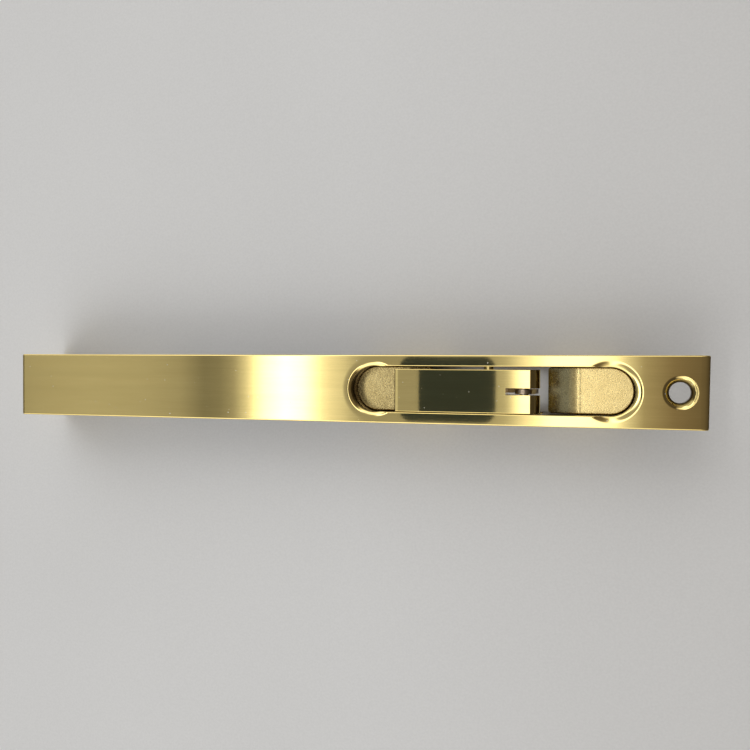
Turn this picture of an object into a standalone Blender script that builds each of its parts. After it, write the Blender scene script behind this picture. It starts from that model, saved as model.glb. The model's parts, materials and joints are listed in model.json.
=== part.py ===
"""Lever flush bolt, 203 x 19 mm: a brass faceplate with a lever that flips over and throws a bolt.

Frame: metres. +X runs along the plate, away from the end where the bolt comes out, +Y across the plate,
+Z out of its front face. The origin is the middle of the front face. At rest the bolt is drawn in.
"""

import math

import bmesh
import bpy
from mathutils import Matrix, Vector

# Gaps between separate pieces, how far cutters reach past what they cut, and half the length of cross cutters
GAP = 0.0003
PIN_GAP = 0.00015
OVERCUT = 0.001
CROSS_REACH = 0.012

# Faceplate
PLATE_LENGTH = 0.2032
PLATE_WIDTH = 0.01905
PLATE_THICKNESS = 0.003
PLATE_EDGE_ROUNDING = 0.0003
SLOT_LENGTH = 0.0763
SLOT_WIDTH = 0.0128
DISH_RADII = (0.0077, 0.0085)
DISH_DEPTH = 0.0022
WOOD_SCREW_X = 0.0945
WOOD_SCREW_HOLE_RADIUS = 0.0027
COUNTERSINK_RADIUS = 0.0041
COUNTERSINK_DEPTH = 0.0015

# Lever, and the crank that its short arm makes
PIVOT_X = 0.0456
PIVOT_Z = -0.0030
LEVER_Y = -0.0003
LEVER_WIDTH = 0.0118
LEVER_THICKNESS = 0.0059
LEVER_LONG_ARM = 0.0255
LEVER_SHORT_ARM = 0.01375
LEVER_END_CHAMFER = 0.0005
LEVER_END_ROUNDING = 0.0025
CRANK_RADIUS = 0.0095
LINK_SLOT_WIDTH = 0.0019
LINK_SLOT_FROM_PIVOT = 0.0048
PIVOT_PIN_RADIUS = 0.0013
CRANK_PIN_RADIUS = 0.0012
PIN_END_ROUNDING = 0.0003
CRANK_PIN_INSET = 0.0002

# Link
LINK_THICKNESS = 0.0013
LINK_EYE_RADIUS = 0.0025
LINK_NECK_HALF_WIDTH = 0.0016
LINK_EYE_BLEND = 0.0040
ROD_PIN_X = 0.0303
ROD_PIN_Z = -0.0122

# The link's centre line is two curves that meet at its turn. All but the last are measured from the crank pin
LINK_TURN = (-0.0042, -0.0100)
LINK_TOP_HANDLE = (0.0026, -0.0044)
LINK_BEND_HANDLE = (0.0036, -0.0094)
LINK_FOOT_HANDLE = (-0.0102, -0.0102)
LINK_ROD_HANDLE_LENGTH = 0.0060

# Housing and recess floors
BACK_Z = -0.0205
HOUSING_CLEARANCE = 0.0002
HOUSING_WALL = 0.0018
HOUSING_LUG_END = 0.0440
HOUSING_LUG_THICKNESS = 0.0025
HOUSING_SCREW_FROM_PIVOT = 0.0411
HOUSING_SCREW_Y = 0.0060
WINDOW_LENGTH = 0.0100
WINDOW_CLEARANCE_Y = 0.0005
WINDOW_CLEARANCE_Z = 0.0004
SIDE_WINDOW_FROM_PIVOT = 0.0138
SIDE_WINDOW_TOP_Z = -0.0062
SIDE_WINDOW_BOTTOM_Z = -0.0178
FLOOR_TOP_Z = -0.0063
FLOOR_SLOPE_LENGTH = 0.0066
FLOOR_CORNER_RADIUS = 0.0008
FLOOR_SCREW_Z = -0.0079
FLOOR_SCREWS_FROM_PIVOT = (0.0255, 0.0315)
# Left and right: where each floor starts, how deep its slope goes there, and its underside
FLOOR_INNER_FROM_PIVOT = {-1: 0.0166, 1: 0.0155}
FLOOR_INNER_TOP_Z = {-1: -0.0076, 1: -0.0092}
FLOOR_BOTTOM_Z = {-1: -0.0093, 1: -0.0112}

# Rod and bolt
ROD_WIDTH = 0.0080
ROD_TOP_Z = -0.0103
ROD_BOTTOM_Z = -0.0133
ROD_FORK_TOP_Z = -0.0097
ROD_FORK_BOTTOM_Z = -0.0147
ROD_FORK_BEHIND_PIN = 0.0090
ROD_FORK_AHEAD_OF_PIN = 0.0046
ROD_FORK_RAMP = 0.0020
ROD_FORK_SLOT_BEHIND_PIN = 0.0056
ROD_START_X = -0.0653
NOTCH_HALF_ANGLE = math.radians(34)
NOTCH_CLEARANCE = 0.0002
BOLT_RADIUS = 0.0040
BOLT_Z = -0.0085
BOLT_TIP_X = -0.1013
BOLT_ROUND_END_X = -0.0656
BOLT_END_X = -0.0516
BOLT_TIP_ROUNDING = 0.0015
RIVET_RADIUS = 0.0010
RIVET_XS = (-0.0616, -0.0556)
RIVET_HEAD_RADIUS = 0.0018
RIVET_HEAD_HEIGHT = 0.0009
RIVET_BELOW_BOLT_TOP = 0.0001

# Guides and spring
GUIDE_X = (-0.0416, -0.0336)
GUIDE_SHEET = 0.0012
GUIDE_SCREW_Y = 0.0075
GUIDE_INSET = 0.0003
END_PLATE_THICKNESS = 0.0030
END_BLOCK_LENGTH = 0.0110
END_BLOCK_BOTTOM_Z = -0.0135
END_SCREW_HOLE_Z = -0.0166
END_SCREW_HOLE_RADIUS = 0.0017
END_COUNTERSINK_RADIUS = 0.0030
END_SCREW_Y = 0.0068
END_SCREW_X = -0.0930
SPRING_WIDTH = 0.0060
SPRING_THICKNESS = 0.0005
SPRING_FOOT_X = (-0.0280, -0.0200)
SPRING_CONTACT_X = -0.0090
SPRING_TOE_X = -0.0060
SPRING_TOE_LIFT = 0.0012

# Screws
SCREW_RADIUS = 0.0010
SCREW_HEAD_RADIUS = 0.0018
SCREW_HEAD_HEIGHT = 0.0013
SCREW_HOLE_DEPTH = 0.0021
SMALL_SCREW_RADIUS = 0.0008
SMALL_SCREW_HEAD_RADIUS = 0.0014
SMALL_SCREW_HEAD_HEIGHT = 0.0008
SMALL_SCREW_BITE = 0.0025

DISH_SEGMENTS = 48
SEGMENTS = 32
SMALL_SEGMENTS = 20

PLATE_BACK_Z = -PLATE_THICKNESS
SEAT_Z = PLATE_BACK_Z - GAP
SLOT_RADIUS = SLOT_WIDTH / 2
SLOT_CENTRE_OFFSET = SLOT_LENGTH / 2 - SLOT_RADIUS
HOUSING_INNER = SLOT_RADIUS + HOUSING_CLEARANCE
HOUSING_OUTER = HOUSING_INNER + HOUSING_WALL
CRANK_X = PIVOT_X + CRANK_RADIUS
SIDES = (-1, 1)

parts = None
cutters = None


# ---------------------------------------------------------------- helpers


def start_scene():
    """Empties the scene and makes one collection for the parts and one for the cutters."""
    global parts, cutters
    for old in list(bpy.data.objects):
        bpy.data.objects.remove(old, do_unlink=True)
    parts = bpy.data.collections.new("flush_bolt")
    cutters = bpy.data.collections.new("flush_bolt_cutters")
    bpy.context.scene.collection.children.link(parts)
    bpy.context.scene.collection.children.link(cutters)


def material(name, colour, roughness, metallic=1.0):
    """A Principled material with one colour, roughness and metallic value."""
    made = bpy.data.materials.new(name)
    made.use_nodes = True
    shader = made.node_tree.nodes["Principled BSDF"]
    shader.inputs["Base Color"].default_value = (*colour, 1.0)
    shader.inputs["Roughness"].default_value = roughness
    shader.inputs["Metallic"].default_value = metallic
    made.diffuse_color = (*colour, 1.0)
    return made


def object_from_bmesh(name, shape):
    """Makes an object of a bmesh, with its faces pointing out."""
    bmesh.ops.recalc_face_normals(shape, faces=shape.faces)
    mesh = bpy.data.meshes.new(name)
    shape.to_mesh(mesh)
    shape.free()
    return bpy.data.objects.new(name, mesh)


def as_part(made, finish):
    """Puts an object among the parts, in its material, with its round faces shaded smooth."""
    parts.objects.link(made)
    made.data.materials.append(finish)
    made.data.shade_smooth()
    made.data.set_sharp_from_angle(angle=math.radians(30))
    return made


def cut(target, cutter, operation="DIFFERENCE"):
    """Cuts a part with a cutter, or joins or intersects them, and puts the cutter out of sight."""
    cutters.objects.link(cutter)
    cutter.hide_render = True
    cutter.display_type = "WIRE"
    boolean = target.modifiers.new(cutter.name, "BOOLEAN")
    boolean.operation = operation
    boolean.solver = "EXACT"
    boolean.object = cutter


def box(name, low, high):
    """A box between two corners."""
    size = [b - a for a, b in zip(low, high)]
    centre = [(a + b) / 2 for a, b in zip(low, high)]
    shape = bmesh.new()
    matrix = Matrix.Translation(centre) @ Matrix.Diagonal((*size, 1.0))
    bmesh.ops.create_cube(shape, size=1.0, matrix=matrix)
    return object_from_bmesh(name, shape)


AXES = {
    "X": Matrix.Rotation(math.radians(90), 4, "Y"),
    "Y": Matrix.Rotation(math.radians(-90), 4, "X"),
    "Z": Matrix.Identity(4),
}


def rods(name, start, end, axis, centres, radius, end_radius=None, segments=SEGMENTS):
    """One object of several equal cylinders or cones along one axis, from start to end on it."""
    shape = bmesh.new()
    for centre in centres:
        middle = list(centre)
        middle["XYZ".index(axis)] = (start + end) / 2
        bmesh.ops.create_cone(
            shape,
            cap_ends=True,
            segments=segments,
            radius1=radius,
            radius2=radius if end_radius is None else end_radius,
            depth=end - start,
            matrix=Matrix.Translation(middle) @ AXES[axis],
        )
    return object_from_bmesh(name, shape)


def cone_cutter(name, centre, hole_radius, rim_radius, depth, segments=SEGMENTS):
    """A cone that cuts from the front face at the rim's radius down to the hole's radius, and past both."""
    slope = (rim_radius - hole_radius) / depth
    below = -depth - OVERCUT / 2
    above = OVERCUT / 2
    radii = (hole_radius - slope * OVERCUT / 2, rim_radius + slope * OVERCUT / 2)
    return rods(name, below, above, "Z", [centre], *radii, segments)


def turned(name, profile, place, segments=SMALL_SEGMENTS):
    """A turned solid: the (radius, height) profile about Z, moved by the matrix place."""
    shape = bmesh.new()
    points = [shape.verts.new((radius, 0, height)) for radius, height in profile]
    edges = [shape.edges.new(pair) for pair in zip(points, points[1:])]
    bmesh.ops.spin(
        shape,
        geom=points + edges,
        axis=(0, 0, 1),
        cent=(0, 0, 0),
        angle=math.tau,
        steps=segments,
        use_duplicate=False,
    )
    bmesh.ops.remove_doubles(shape, verts=shape.verts, dist=0.000001)
    bmesh.ops.transform(shape, matrix=place, verts=shape.verts)
    return object_from_bmesh(name, shape)


def turned_set(name, profile, places, finish, segments=SMALL_SEGMENTS):
    """Equal turned pieces, numbered from 1, or one unnumbered piece where there is only one place."""
    for number, place in enumerate(places, 1):
        own_name = f"{name}_{number}" if len(places) > 1 else name
        as_part(turned(own_name, profile, place, segments), finish)


def arc(centre, radius, start, end, steps):
    """Points on an arc from one angle to another, in degrees, both ends included."""
    angles = [math.radians(start + (end - start) * i / steps) for i in range(steps + 1)]
    return [(centre[0] + radius * math.cos(a), centre[1] + radius * math.sin(a)) for a in angles]


def stroke(path, widths):
    """The outline of a path drawn with the given half widths, with round ends."""
    left = []
    right = []
    for i, (point, width) in enumerate(zip(path, widths)):
        before = path[max(i - 1, 0)]
        after = path[min(i + 1, len(path) - 1)]
        direction = Vector((after[0] - before[0], after[1] - before[1])).normalized()
        side = Vector((-direction.y, direction.x)) * width
        left.append((point[0] + side.x, point[1] + side.y))
        right.append((point[0] - side.x, point[1] - side.y))

    def cap(centre, first):
        start = math.degrees(math.atan2(first[1] - centre[1], first[0] - centre[0]))
        radius = math.dist(first, centre)
        return arc(centre, radius, start, start - 180, 14)[1:-1]

    return left + cap(path[-1], left[-1]) + right[::-1] + cap(path[0], right[0])


def outline_solid(name, outline, low, high, plane):
    """A flat outline made into a solid between two levels.

    The outline lies in the plane XY, XZ or YZ, and low and high are levels on the third axis.
    """
    curve = bpy.data.curves.new(name, "CURVE")
    curve.dimensions = "2D"
    curve.fill_mode = "BOTH"
    curve.extrude = (high - low) / 2
    spline = curve.splines.new("POLY")
    spline.points.add(len(outline) - 1)
    for point, place in zip(spline.points, outline):
        point.co = (*place, 0, 1)
    spline.use_cyclic_u = True
    drawn = bpy.data.objects.new(name + "_outline", curve)
    bpy.context.scene.collection.objects.link(drawn)
    bpy.context.view_layer.update()
    mesh = bpy.data.meshes.new_from_object(drawn.evaluated_get(bpy.context.evaluated_depsgraph_get()))
    turn = {
        "XY": Matrix(((1, 0, 0), (0, 1, 0), (0, 0, 1))),
        "XZ": Matrix(((1, 0, 0), (0, 0, -1), (0, 1, 0))),
        "YZ": Matrix(((0, 0, 1), (1, 0, 0), (0, 1, 0))),
    }[plane]
    lift = {"XY": (0, 0, 1), "XZ": (0, 1, 0), "YZ": (1, 0, 0)}[plane]
    shape = bmesh.new()
    shape.from_mesh(mesh)
    bmesh.ops.remove_doubles(shape, verts=shape.verts, dist=0.000001)
    place = Matrix.Translation(Vector(lift) * (low + high) / 2) @ turn.to_4x4()
    bmesh.ops.transform(shape, matrix=place, verts=shape.verts)
    bpy.data.objects.remove(drawn)
    bpy.data.curves.remove(curve)
    bpy.data.meshes.remove(mesh)
    return object_from_bmesh(name, shape)


def stadium(radius, steps=16):
    """The outline of the slot, or of one round it, with the given radius at its ends."""
    right = arc((PIVOT_X + SLOT_CENTRE_OFFSET, 0), radius, -90, 90, steps)
    left = arc((PIVOT_X - SLOT_CENTRE_OFFSET, 0), radius, 90, 270, steps)
    return right + left


# ---------------------------------------------------------------- faceplate, housing and floors


def housing_seats():
    """Where screws from behind hold the housing's lugs to the faceplate."""
    xs = [PIVOT_X + side * HOUSING_SCREW_FROM_PIVOT for side in SIDES]
    return [(x, y * HOUSING_SCREW_Y) for x in xs for y in SIDES]


def guide_seats():
    """Where screws hold the rod guide's feet."""
    return [(sum(GUIDE_X) / 2, y * GUIDE_SCREW_Y) for y in SIDES]


def end_seats():
    """Where screws hold the end guide's block."""
    return [(END_SCREW_X, y * END_SCREW_Y) for y in SIDES]


def spring_seats():
    """Where a screw holds the spring's foot."""
    return [(sum(SPRING_FOOT_X) / 2, 0.0)]


def make_faceplate(finish):
    half = (PLATE_LENGTH / 2, PLATE_WIDTH / 2)
    plate = box("faceplate", (-half[0], -half[1], PLATE_BACK_Z), (half[0], half[1], 0))
    edge = plate.modifiers.new("eased edges", "BEVEL")
    edge.width = PLATE_EDGE_ROUNDING
    edge.segments = 2
    through = (PLATE_BACK_Z - OVERCUT, OVERCUT)
    cut(plate, outline_solid("slot_cutter", stadium(SLOT_RADIUS), *through, "XY"))
    # Each dish is a cone that meets the slot's round end at the dish's depth, and only cuts outside the slot
    for side, name, radius in zip(SIDES, ("left", "right"), DISH_RADII):
        centre = (PIVOT_X + side * SLOT_CENTRE_OFFSET, 0, 0)
        dish = (name + "_dish_cutter", centre, SLOT_RADIUS, radius, DISH_DEPTH, DISH_SEGMENTS)
        cut(plate, cone_cutter(*dish))
    hole = (WOOD_SCREW_X, 0, 0)
    cut(plate, rods("screw_hole_cutter", *through, "Z", [hole], WOOD_SCREW_HOLE_RADIUS))
    sink = ("countersink_cutter", hole, WOOD_SCREW_HOLE_RADIUS, COUNTERSINK_RADIUS, COUNTERSINK_DEPTH)
    cut(plate, cone_cutter(*sink))
    # The pivot pin lies in a groove across the back, so it is held between the plate and the housing
    reach = HOUSING_OUTER + GAP
    pivot = [(PIVOT_X, 0, PIVOT_Z)]
    cut(plate, rods("pivot_groove_cutter", -reach, reach, "Y", pivot, PIVOT_PIN_RADIUS + PIN_GAP))
    seats = [(x, y, 0) for x, y in housing_seats() + guide_seats() + end_seats() + spring_seats()]
    tapped = rods(
        "tapped_hole_cutter",
        PLATE_BACK_Z - OVERCUT,
        PLATE_BACK_Z + SCREW_HOLE_DEPTH,
        "Z",
        seats,
        SCREW_RADIUS + PIN_GAP,
        segments=SMALL_SEGMENTS,
    )
    cut(plate, tapped)
    return as_part(plate, finish)


def make_housing(finish):
    """A round-ended frame behind the slot, with a lug at each end and windows for the rod and the link."""
    frame = outline_solid("lever_housing", stadium(HOUSING_OUTER), BACK_Z, SEAT_Z, "XY")
    lug = box(
        "lug_joiner",
        (PIVOT_X - HOUSING_LUG_END, -HOUSING_OUTER, SEAT_Z - HOUSING_LUG_THICKNESS),
        (PIVOT_X + HOUSING_LUG_END, HOUSING_OUTER, SEAT_Z),
    )
    cut(frame, lug, "UNION")
    through = (BACK_Z - OVERCUT, SEAT_Z + OVERCUT)
    inside = outline_solid("inside_cutter", stadium(HOUSING_INNER), *through, "XY")
    cut(frame, inside)
    half = ROD_WIDTH / 2 + WINDOW_CLEARANCE_Y
    inner_x = PIVOT_X - SLOT_CENTRE_OFFSET
    window = box(
        "window_cutter",
        (inner_x - WINDOW_LENGTH, -half, ROD_FORK_BOTTOM_Z - WINDOW_CLEARANCE_Z),
        (inner_x, half, ROD_FORK_TOP_Z + WINDOW_CLEARANCE_Z),
    )
    cut(frame, window)
    side_windows = box(
        "side_window_cutter",
        (PIVOT_X - SIDE_WINDOW_FROM_PIVOT, -CROSS_REACH, SIDE_WINDOW_BOTTOM_Z),
        (PIVOT_X + SIDE_WINDOW_FROM_PIVOT, CROSS_REACH, SIDE_WINDOW_TOP_Z),
    )
    cut(frame, side_windows)
    centre = [(PIVOT_X, 0, PIVOT_Z)]
    across = (-CROSS_REACH, CROSS_REACH, "Y")
    radius = PIVOT_PIN_RADIUS + PIN_GAP
    cut(frame, rods("pivot_hole_cutter", *across, centre, radius, segments=SMALL_SEGMENTS))
    holes = rods(
        "floor_screw_cutter",
        *across,
        [(x, 0, FLOOR_SCREW_Z) for x in floor_screw_xs()],
        SMALL_SCREW_RADIUS + PIN_GAP,
        segments=SMALL_SEGMENTS,
    )
    cut(frame, holes)
    lug_holes = rods(
        "lug_hole_cutter",
        SEAT_Z - HOUSING_LUG_THICKNESS - OVERCUT,
        SEAT_Z + OVERCUT,
        "Z",
        [(x, y, 0) for x, y in housing_seats()],
        SCREW_RADIUS + PIN_GAP,
        segments=SMALL_SEGMENTS,
    )
    cut(frame, lug_holes)
    return as_part(frame, finish)


def floor_screw_xs():
    """Where along the plate the recess floors are screwed to the housing."""
    return [PIVOT_X + side * x for side in SIDES for x in FLOOR_SCREWS_FROM_PIVOT]


def make_recess_floor(side, name, finish):
    """A block under the finger recess: round at its far end, sloping down towards the lever's pivot."""
    radius = HOUSING_INNER - GAP
    far = SLOT_CENTRE_OFFSET
    near = FLOOR_INNER_FROM_PIVOT[side]
    corner = FLOOR_CORNER_RADIUS
    plan = (
        arc((far, 0), radius, -90, 90, 20)
        + arc((near + corner, radius - corner), corner, 90, 180, 4)
        + arc((near + corner, -radius + corner), corner, 180, 270, 4)
    )
    plan = [(PIVOT_X + side * x, y) for x, y in plan]
    floor = outline_solid(name, plan, FLOOR_BOTTOM_Z[side], FLOOR_TOP_Z, "XY")
    crease = near + FLOOR_SLOPE_LENGTH
    steepness = (FLOOR_TOP_Z - FLOOR_INNER_TOP_Z[side]) / FLOOR_SLOPE_LENGTH
    wedge = [
        (crease, FLOOR_TOP_Z),
        (crease, FLOOR_TOP_Z + OVERCUT),
        (near - OVERCUT, FLOOR_TOP_Z + OVERCUT),
        (near - OVERCUT, FLOOR_INNER_TOP_Z[side] - steepness * OVERCUT),
    ]
    wedge = [(PIVOT_X + side * x, z) for x, z in wedge]
    cut(floor, outline_solid(name + "_slope_cutter", wedge, -CROSS_REACH, CROSS_REACH, "XZ"))
    reach = radius - SMALL_SCREW_BITE - GAP
    for y, label in zip(SIDES, ("lower", "upper")):
        ends = sorted((y * reach, y * CROSS_REACH))
        holes = rods(
            f"{name}_{label}_screw_cutter",
            *ends,
            "Y",
            [(PIVOT_X + side * x, 0, FLOOR_SCREW_Z) for x in FLOOR_SCREWS_FROM_PIVOT],
            SMALL_SCREW_RADIUS + PIN_GAP,
            segments=SMALL_SEGMENTS,
        )
        cut(floor, holes)
    return as_part(floor, finish)


# ---------------------------------------------------------------- lever, link and their pins


def make_lever(finish):
    """A flat bar that pivots at mid thickness, so that either face lies flush with the plate."""
    half = LEVER_THICKNESS / 2
    long_end = PIVOT_X - LEVER_LONG_ARM
    short_end = PIVOT_X + LEVER_SHORT_ARM
    chamfer = LEVER_END_CHAMFER
    radius = LEVER_END_ROUNDING
    profile = [
        (long_end, PIVOT_Z + half - chamfer),
        (long_end, PIVOT_Z - half + chamfer),
        (long_end + chamfer, PIVOT_Z - half),
    ]
    profile += arc((short_end - radius, PIVOT_Z - half + radius), radius, -90, 0, 8)
    profile += arc((short_end - radius, PIVOT_Z + half - radius), radius, 0, 90, 8)
    profile.append((long_end + chamfer, PIVOT_Z + half))
    sides = (LEVER_Y - LEVER_WIDTH / 2, LEVER_Y + LEVER_WIDTH / 2)
    lever = outline_solid("lever", profile, *sides, "XZ")
    slot = box(
        "link_slot_cutter",
        (PIVOT_X + LINK_SLOT_FROM_PIVOT, LEVER_Y - LINK_SLOT_WIDTH / 2, PIVOT_Z - half - OVERCUT),
        (short_end + OVERCUT, LEVER_Y + LINK_SLOT_WIDTH / 2, PIVOT_Z + half + OVERCUT),
    )
    cut(lever, slot)
    across = (-CROSS_REACH, CROSS_REACH, "Y")
    cut(lever, rods("lever_bore_cutter", *across, [(PIVOT_X, 0, PIVOT_Z)], PIVOT_PIN_RADIUS + PIN_GAP))
    cut(lever, rods("crank_bore_cutter", *across, [(CRANK_X, 0, PIVOT_Z)], CRANK_PIN_RADIUS + PIN_GAP))
    put_origin(lever, (PIVOT_X, LEVER_Y, PIVOT_Z))
    return as_part(lever, finish)


def put_origin(made, place):
    """Moves an object's origin to a place on its joint's axis, and leaves its mesh where it is."""
    made.data.transform(Matrix.Translation(made.location - Vector(place)))
    made.location = place


def pin(name, x, z, low, high, radius, finish):
    """A cross pin along Y with slightly rounded ends."""
    rounding = PIN_END_ROUNDING
    middle = (low + high) / 2
    reach = (high - low) / 2
    profile = [(0, -reach), (radius - rounding, -reach), (radius, -reach + rounding)]
    profile += [(radius, reach - rounding), (radius - rounding, reach), (0, reach)]
    place = Matrix.Translation((x, middle, z)) @ AXES["Y"]
    made = turned(name, profile, place)
    put_origin(made, (x, middle, z))
    return as_part(made, finish)


def link_path():
    """The link's centre line: out of the lever's slot, round under the pivot, and left to the rod."""
    crank = Vector((CRANK_X, PIVOT_Z))
    rod = Vector((ROD_PIN_X, ROD_PIN_Z))
    turn = crank + Vector(LINK_TURN)
    bend = bezier(crank, crank + Vector(LINK_TOP_HANDLE), crank + Vector(LINK_BEND_HANDLE), turn, 20)
    foot = bezier(turn, crank + Vector(LINK_FOOT_HANDLE), rod + Vector((LINK_ROD_HANDLE_LENGTH, 0)), rod, 10)
    return [tuple(point) for point in bend + foot[1:]]


def bezier(a, b, c, d, steps):
    """Points along a cubic Bezier curve."""
    points = []
    for i in range(steps + 1):
        t = i / steps
        u = 1 - t
        points.append(a * u**3 + b * 3 * u * u * t + c * 3 * u * t * t + d * t**3)
    return points


def make_link(finish):
    path = link_path()
    widths = []
    for point in path:
        to_end = min(math.dist(point, path[0]), math.dist(point, path[-1]))
        blend = max(0.0, 1 - to_end / LINK_EYE_BLEND)
        widths.append(LINK_NECK_HALF_WIDTH + (LINK_EYE_RADIUS - LINK_NECK_HALF_WIDTH) * blend**0.7)
    low = LEVER_Y - LINK_THICKNESS / 2
    high = LEVER_Y + LINK_THICKNESS / 2
    link = outline_solid("link", stroke(path, widths), low, high, "XZ")
    centres = [(CRANK_X, 0, PIVOT_Z), (ROD_PIN_X, 0, ROD_PIN_Z)]
    radius = CRANK_PIN_RADIUS + PIN_GAP
    cut(link, rods("link_eye_cutter", -CROSS_REACH, CROSS_REACH, "Y", centres, radius))
    put_origin(link, (CRANK_X, LEVER_Y, PIVOT_Z))
    return as_part(link, finish)


# ---------------------------------------------------------------- rod and bolt


def make_rod(finish):
    """A flat bar with a fork at its right end. The fork's notch for the rod pin is open downwards."""
    half = ROD_WIDTH / 2
    fork = (ROD_PIN_X - ROD_FORK_BEHIND_PIN, ROD_PIN_X + ROD_FORK_AHEAD_OF_PIN)
    profile = [
        (ROD_START_X, ROD_BOTTOM_Z),
        (fork[0] - ROD_FORK_RAMP, ROD_BOTTOM_Z),
        (fork[0], ROD_FORK_BOTTOM_Z),
        (fork[1], ROD_FORK_BOTTOM_Z),
        (fork[1], ROD_FORK_TOP_Z),
        (fork[0], ROD_FORK_TOP_Z),
        (fork[0] - ROD_FORK_RAMP, ROD_TOP_Z),
        (ROD_START_X, ROD_TOP_Z),
    ]
    rod = outline_solid("rod", profile, -half, half, "XZ")
    slot = box(
        "fork_slot_cutter",
        (
            ROD_PIN_X - ROD_FORK_SLOT_BEHIND_PIN,
            LEVER_Y - LINK_SLOT_WIDTH / 2,
            ROD_FORK_BOTTOM_Z - OVERCUT,
        ),
        (fork[1] + OVERCUT, LEVER_Y + LINK_SLOT_WIDTH / 2, ROD_FORK_TOP_Z + OVERCUT),
    )
    cut(rod, slot)
    radius = CRANK_PIN_RADIUS + NOTCH_CLEARANCE
    turn = math.degrees(NOTCH_HALF_ANGLE)
    notch = arc((ROD_PIN_X, ROD_PIN_Z), radius, turn, 180 - turn, 10)
    foot = ROD_FORK_BOTTOM_Z - OVERCUT
    drop = ROD_PIN_Z + radius * math.sin(NOTCH_HALF_ANGLE) - foot
    spread = drop * math.tan(NOTCH_HALF_ANGLE)
    notch.append((notch[-1][0] - spread, foot))
    notch.append((notch[0][0] + spread, foot))
    cut(rod, outline_solid("fork_notch_cutter", notch, -CROSS_REACH, CROSS_REACH, "XZ"))
    cut(rod, upright_holes("rod_rivet_cutter", [(x, 0) for x in RIVET_XS], RIVET_RADIUS))
    return as_part(rod, finish)


def upright_holes(name, seats, radius):
    """Cutters for screw or rivet holes from the plate's front right down to the back."""
    places = [(x, y, 0) for x, y in seats]
    return rods(name, BACK_Z - OVERCUT, 0, "Z", places, radius + PIN_GAP, segments=SMALL_SEGMENTS)


def make_bolt(finish):
    """A round bolt with a domed tip. Its right end is cut flat below, and the rod lies against it."""
    tip = BOLT_TIP_ROUNDING
    length = BOLT_END_X - BOLT_TIP_X
    profile = [(0, 0), (BOLT_RADIUS - tip, 0)]
    profile += [(BOLT_RADIUS - tip + a, tip + b) for a, b in arc((0, 0), tip, -60, 0, 4)]
    profile += [(BOLT_RADIUS, length), (0, length)]
    place = Matrix.Translation((BOLT_TIP_X, 0, BOLT_Z)) @ AXES["X"]
    bolt = turned("bolt", profile, place, segments=SEGMENTS)
    side = BOLT_RADIUS + OVERCUT
    flat = box(
        "bolt_flat_cutter",
        (BOLT_ROUND_END_X, -side, ROD_BOTTOM_Z - OVERCUT),
        (BOLT_END_X + OVERCUT, side, ROD_TOP_Z + GAP),
    )
    cut(bolt, flat)
    cut(bolt, upright_holes("bolt_rivet_cutter", [(x, 0) for x in RIVET_XS], RIVET_RADIUS))
    return as_part(bolt, finish)


def make_rod_rivets(finish):
    """Two rivets from under the rod to the top of the bolt, with a round head below."""
    under = ROD_BOTTOM_Z - GAP
    length = BOLT_Z + BOLT_RADIUS - RIVET_BELOW_BOLT_TOP - under
    dome = arc((0, 0), 1, 90, 0, 3)[1:]
    profile = [(0, -RIVET_HEAD_HEIGHT)]
    profile += [(RIVET_HEAD_RADIUS * a, -RIVET_HEAD_HEIGHT * b) for a, b in dome]
    profile += [(RIVET_RADIUS, 0), (RIVET_RADIUS, length), (0, length)]
    places = [Matrix.Translation((x, 0, under)) for x in RIVET_XS]
    turned_set("rod_rivet", profile, places, finish)


# ---------------------------------------------------------------- guides, spring and screws


def make_rod_guide(finish):
    """A strap bent round the rod, with a foot on the plate at each side."""
    sheet = GUIDE_SHEET
    inner = ROD_WIDTH / 2 + GAP
    outer = inner + sheet
    edge = PLATE_WIDTH / 2 - GUIDE_INSET
    bottom = ROD_BOTTOM_Z - GAP
    right = [(edge, SEAT_Z), (edge, SEAT_Z - sheet), (outer, SEAT_Z - sheet)]
    right += arc((inner, bottom), sheet, 0, -90, 4)
    left = [(-y, z) for y, z in right[::-1]]
    hollow = [(-inner, SEAT_Z), (-inner, bottom), (inner, bottom), (inner, SEAT_Z)]
    guide = outline_solid("rod_guide", right + left + hollow, *GUIDE_X, "YZ")
    cut(guide, upright_holes("guide_hole_cutter", guide_seats(), SCREW_RADIUS))
    return as_part(guide, finish)


def make_end_guide(finish):
    """The end plate that the bolt comes out of, with a block behind it that the bolt slides in."""
    end = -PLATE_LENGTH / 2
    half = PLATE_WIDTH / 2
    guide = box("end_guide", (end, -half, BACK_Z), (end + END_PLATE_THICKNESS, half, SEAT_Z))
    block = box(
        "end_block_joiner",
        (end + END_PLATE_THICKNESS / 2, -half + GUIDE_INSET, END_BLOCK_BOTTOM_Z),
        (end + END_PLATE_THICKNESS + END_BLOCK_LENGTH, half - GUIDE_INSET, SEAT_Z),
    )
    cut(guide, block, "UNION")
    through = (end - OVERCUT, end + END_PLATE_THICKNESS + END_BLOCK_LENGTH + OVERCUT, "X")
    cut(guide, rods("bolt_bore_cutter", *through, [(0, 0, BOLT_Z)], BOLT_RADIUS + GAP))
    hole = [(0, 0, END_SCREW_HOLE_Z)]
    cut(guide, rods("end_hole_cutter", *through, hole, END_SCREW_HOLE_RADIUS))
    # The countersink is a 90 degree cone, so its radius changes by as much as its depth
    over = OVERCUT / 2
    radii = (END_COUNTERSINK_RADIUS + over, END_SCREW_HOLE_RADIUS - over)
    ends = (end - over, end + END_COUNTERSINK_RADIUS - END_SCREW_HOLE_RADIUS + over)
    cut(guide, rods("end_countersink_cutter", *ends, "X", hole, *radii))
    cut(guide, upright_holes("end_seat_cutter", end_seats(), SCREW_RADIUS))
    return as_part(guide, finish)


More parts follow.
